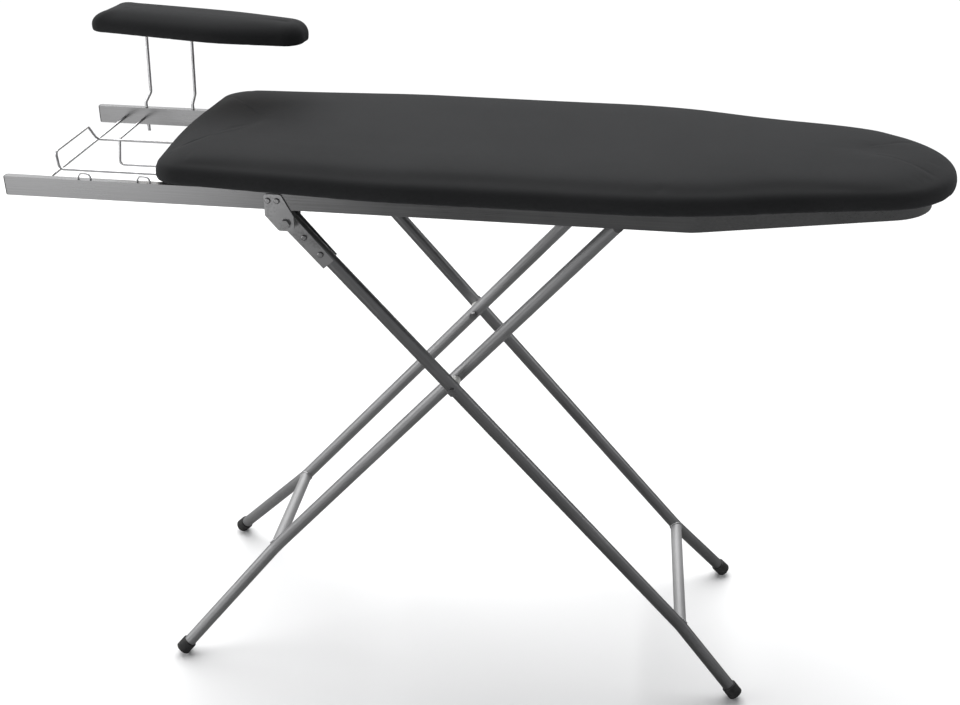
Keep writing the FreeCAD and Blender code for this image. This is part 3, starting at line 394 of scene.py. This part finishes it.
# ---------------------------------------------------------------- cloth covers
def plan_outline(points, count):
    """Convex outline of some points seen from above, as equally spaced points."""
    rows = sorted({(round(x, 6), round(y, 6)) for x, y in points})

    def half(sequence):
        chain = []
        for p in sequence:
            while len(chain) > 1 and ((chain[-1][0] - chain[-2][0]) * (p[1] - chain[-2][1])
                                      <= (chain[-1][1] - chain[-2][1]) * (p[0] - chain[-2][0])):
                chain.pop()
            chain.append(p)
        return chain[:-1]

    ring = np.array(half(rows) + half(rows[::-1]))
    closed = np.vstack([ring, ring[:1]])
    run = np.concatenate([[0], np.cumsum(np.linalg.norm(np.diff(closed, axis=0), axis=1))])
    steps = np.linspace(0, run[-1], count, endpoint=False)
    return np.stack([np.interp(steps, run, closed[:, k]) for k in (0, 1)], axis=1)


def outward(ring):
    """Unit normals of a closed ring of plan points, pointing out."""
    along = np.roll(ring, -1, 0) - np.roll(ring, 1, 0)
    along /= np.linalg.norm(along, axis=1)[:, None]
    return np.stack([along[:, 1], -along[:, 0]], axis=1)


def shoulder(reach, rise, power, steps=9):
    """(inset, height) pairs up a rounded shoulder, closest together where it is steepest."""
    pairs = []
    for step in range(1, steps + 1):
        inset = reach * (step / steps) ** 2
        pairs.append((inset, rise * (1 - (1 - inset / reach) ** power) ** (1 / power)))
    return pairs


def cover_blank(name, ring, spine, rings, crown, gather):
    """Cloth shell over a board: a turned-under hem, gathered skirt, shoulder and top.

    rings gives (inset, height) from the hem to the end of the shoulder; from there the top
    closes on the spine, two ends of a line, and rises by crown. gather is the ripples' depth.
    Above the widest place an inset uses up no more than room of the way to the spine."""
    room = 0.75
    top_steps = 14
    pleat_pitches = ((6.5, 0.55, 0.4), (9.1, 0.45, 2.1))
    count = len(ring)
    normal = outward(ring)
    turn = np.arange(count) * 2 * math.pi / count
    pleats = np.zeros(count)
    for pitch, share, phase in pleat_pitches:
        pleats += share * np.sin(int(count / pitch) * turn + phase)
    pleats *= 0.6 + 0.4 * np.sin(7 * turn + 1) * np.sin(13 * turn)
    to_spine = np.stack([np.clip(ring[:, 0], spine[0], spine[1]), np.zeros(count)], axis=1)
    inward = to_spine - ring
    depth = np.linalg.norm(inward, axis=1)[:, None]
    inward /= depth
    scale = np.minimum(1, room * depth / rings[-1][0])
    bottom = min(height for _, height in rings)
    belly = next(height for inset, height in rings if inset == 0)
    layers = []
    for inset, height in rings:
        fade = min(1.0, max(0.0, (belly - height) / (belly - bottom)))
        local = inset * scale if height > belly else inset
        flat = ring + inward * local - normal * (gather * fade * pleats)[:, None]
        layers.append(np.column_stack([flat, np.full(count, height)]))
    inner = ring + inward * rings[-1][0] * scale
    for step in range(1, top_steps + 1):
        share = step / top_steps
        flat = inner * (1 - share) + to_spine * share
        lift = rings[-1][1] + crown * math.sin(share * math.pi / 2)
        layers.append(np.column_stack([flat, np.full(count, lift)]))
    mesh = bmesh.new()
    rows = [[mesh.verts.new(p) for p in layer] for layer in layers]
    for low, high in zip(rows, rows[1:]):
        for i in range(count):
            j = (i + 1) % count
            mesh.faces.new((low[i], low[j], high[j], high[i]))
    bmesh.ops.remove_doubles(mesh, verts=rows[-1], dist=0.002)
    bmesh.ops.dissolve_degenerate(mesh, dist=0.00005, edges=mesh.edges)
    bmesh.ops.recalc_face_normals(mesh, faces=mesh.faces)
    data = bpy.data.meshes.new(name)
    mesh.to_mesh(data)
    mesh.free()
    piece = bpy.data.objects.new(name, data)
    scene.collection.objects.link(piece)
    return piece


def relax(piece, hold_below, reach, pressure, last_frame=20):
    """Short cloth simulation: the skirt is held below a height, the rest is blown taut.

    A point keeps its shift up to about reach, but goes no further in than the padding gives."""
    padding_gives = 0.0004
    too_small = 1e-9
    rest = np.array([v.co for v in piece.data.vertices])
    normal = np.array([v.normal for v in piece.data.vertices])
    held = piece.vertex_groups.new(name="held")
    held.add([i for i, p in enumerate(rest) if p[2] < hold_below], 1.0, "REPLACE")
    cloth = piece.modifiers.new("cloth", "CLOTH")
    setting = cloth.settings
    setting.quality = 6
    setting.mass = 0.25
    setting.tension_stiffness = 18
    setting.compression_stiffness = 8
    setting.shear_stiffness = 6
    setting.bending_stiffness = 0.4
    setting.air_damping = 4
    setting.use_pressure = True
    setting.uniform_pressure_force = pressure
    setting.vertex_group_mass = "held"
    setting.effector_weights.gravity = 0
    cloth.collision_settings.use_collision = False
    cloth.point_cache.frame_start = 1
    cloth.point_cache.frame_end = last_frame
    for step in range(1, last_frame + 1):
        scene.frame_set(step)
    shaped = piece.evaluated_get(bpy.context.evaluated_depsgraph_get())
    moved = np.array([v.co for v in shaped.data.vertices])
    piece.modifiers.remove(cloth)
    scene.frame_set(1)
    shift = moved - rest
    length = np.linalg.norm(shift, axis=1)
    kept = np.where(length > too_small,
                    reach * np.tanh(length / reach) / np.maximum(length, too_small), 0)
    shift *= kept[:, None]
    along = np.sum(shift * normal, axis=1)
    shift -= normal * np.minimum(along + padding_gives, 0)[:, None]
    final = rest + shift
    piece.data.vertices.foreach_set("co", final.ravel())
    piece.data.update()
    print(piece.name, "moved by up to", round(float(length.max()), 4), "kept",
          round(float(np.linalg.norm(shift, axis=1).max()), 4))
    piece.vertex_groups.clear()


def finish_cloth(piece, thickness, body, fill, slot, *stands_for):
    """Gives the skin its thickness and one subdivision, then the cloth and its place."""
    solid = piece.modifiers.new("thickness", "SOLIDIFY")
    solid.thickness = thickness
    solid.offset = -1
    smooth = piece.modifiers.new("smooth", "SUBSURF")
    smooth.levels = 1
    smooth.render_levels = 1
    bpy.context.view_layer.update()
    shaped = bpy.data.meshes.new_from_object(
        piece.evaluated_get(bpy.context.evaluated_depsgraph_get()))
    piece.modifiers.clear()
    piece.data = shaped
    for face in shaped.polygons:
        face.use_smooth = True
    shaped.materials.clear()
    shaped.materials.append(CLOTH)
    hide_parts(*stands_for)
    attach(piece, body)


def board_cover():
    """The long padded cover: gathered under the deck, widest low down, crowned over the pad.

    Its padding stands a little proud of the deck, most at the nose."""
    low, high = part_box("board_cover")
    points = [(v.co.x, v.co.y) for v in nodes["board_cover"].data.vertices]
    ring = plan_outline(points, 640)
    swell_start, swell_run = 0.42, 0.26
    least, extra = 0.0015, 0.0105
    near_nose = np.clip((ring[:, 0] - swell_start) / swell_run, 0, 1)
    proud = least + extra * near_nose * near_nose * (3 - 2 * near_nose)
    ring = ring + outward(ring) * proud[:, None]
    half = (high.y - low.y) / 2
    nose = 0.135
    under = [(0.0225, 0.0004), (0.022, -0.0006), (0.013, -0.0006), (0.0124, 0.0001),
             (0.0058, 0.0002), (0.0022, 0.0016), (0.0006, 0.0040)]
    belly = 0.0075
    rings = [(inset, low.z + rise) for inset, rise in under] + [(0, low.z + belly)]
    skirt = [(0.0002, 0.0120), (0.0009, 0.0165), (0.0022, 0.0205), (0.0040, 0.0237),
             (0.0065, 0.0263), (0.0100, 0.0284)]
    dome = [(0.015, 0.0305), (0.023, 0.0325), (0.035, 0.0344), (0.052, 0.0360), (0.075, 0.0372),
            (0.105, 0.0381)]
    rings += [(inset, low.z + height) for inset, height in skirt + dome]
    piece = cover_blank("board_cover_cloth", ring, (low.x + 0.6 * half, high.x - nose), rings,
                        0.0008, 0.0009)
    relax(piece, low.z + 0.005, 0.005, 1.5)
    finish_cloth(piece, 0.0012, "table", 0.75, "cover_cloth", "board_cover", "board_pad")


def sleeve_cover():
    """The sleeve board's padded cover, in the board's own tilted frame, then put in place."""
    turn = Matrix.Rotation(SLEEVE_YAW, 4, "Z") @ Matrix.Rotation(SLEEVE_TILT, 4, "Y")
    local = [turn.inverted() @ v.co for v in nodes["sleeve_cover"].data.vertices]
    low = Vector((min(p[k] for p in local) for k in range(3)))
    high = Vector((max(p[k] for p in local) for k in range(3)))
    middle = (low.y + high.y) / 2
    ring = plan_outline([(p.x, p.y - middle) for p in local], 300)
    half = (high.y - low.y) / 2
    under = [(0.015, -0.0008), (0.009, -0.0014), (0.0035, -0.0012), (0.0010, 0.0004),
             (0.0002, 0.0040)]
    belly = 0.0085
    rings = [(inset, low.z + rise) for inset, rise in under] + [(0, low.z + belly)]
    rings += [(inset, low.z + belly + rise) for inset, rise in shoulder(0.048, 0.0240, 2.2)]
    piece = cover_blank("sleeve_cover_cloth", ring, (low.x + half, high.x - 0.034), rings,
                        0.0016, 0.0007)
    relax(piece, low.z + 0.005, 0.004, 1.5)
    piece.data.transform(turn @ Matrix.Translation((0, middle, 0)))
    finish_cloth(piece, 0.0012, "sleeve_board", 0.8, "cover_cloth", "sleeve_cover", "sleeve_pad")


board_cover()
sleeve_cover()


# ---------------------------------------------------------------- weld beads
def weld_bead(name, body, bar, side, lean):
    """Rippled bead round the joint of a crossbar and a round leg that leans in the XZ plane."""
    bead_radius, ripples, ripple_share = 0.0019, 22, 0.14
    low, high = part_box(bar)
    centre = (low + high) / 2
    radius = (high.z - low.z) / 2
    line = high.y + math.sqrt(TUBE_RADIUS ** 2 - radius ** 2)
    along = Vector((math.cos(lean), 0, -math.sin(lean)))
    across = Vector((math.sin(lean), 0, math.cos(lean)))
    steps, sides = 96, 10
    points = []
    for step in range(steps):
        turn = 2 * math.pi * step / steps
        out = along * math.cos(turn) + across * math.sin(turn)
        reach = line - math.sqrt(TUBE_RADIUS ** 2 - (radius * math.sin(turn)) ** 2)
        points.append((Vector((centre.x, side * reach, centre.z)) + out * radius, out))
    mesh = bmesh.new()
    rows = []
    for step, (middle, out) in enumerate(points):
        bead = bead_radius * (1 + ripple_share * math.sin(ripples * 2 * math.pi * step / steps))
        inward = Vector((0, -side, 0))
        rows.append([mesh.verts.new(middle + out * bead * math.cos(2 * math.pi * k / sides)
                                    + inward * bead * math.sin(2 * math.pi * k / sides))
                     for k in range(sides)])
    for step in range(steps):
        here, there = rows[step], rows[(step + 1) % steps]
        for k in range(sides):
            j = (k + 1) % sides
            mesh.faces.new((here[k], there[k], there[j], here[j]))
    bmesh.ops.recalc_face_normals(mesh, faces=mesh.faces)
    data = bpy.data.meshes.new(name)
    mesh.to_mesh(data)
    mesh.free()
    for face in data.polygons:
        face.use_smooth = True
    data.materials.append(WELD)
    bead = bpy.data.objects.new(name, data)
    scene.collection.objects.link(bead)
    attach(bead, body)


for kind, lean in (("outer", LEG_LEAN), ("inner", -LEG_LEAN)):
    for side_name, side in (("near", -1), ("far", 1)):
        weld_bead("%s_weld_%s" % (kind, side_name), kind + "_legs", kind + "_crossbar", side, lean)
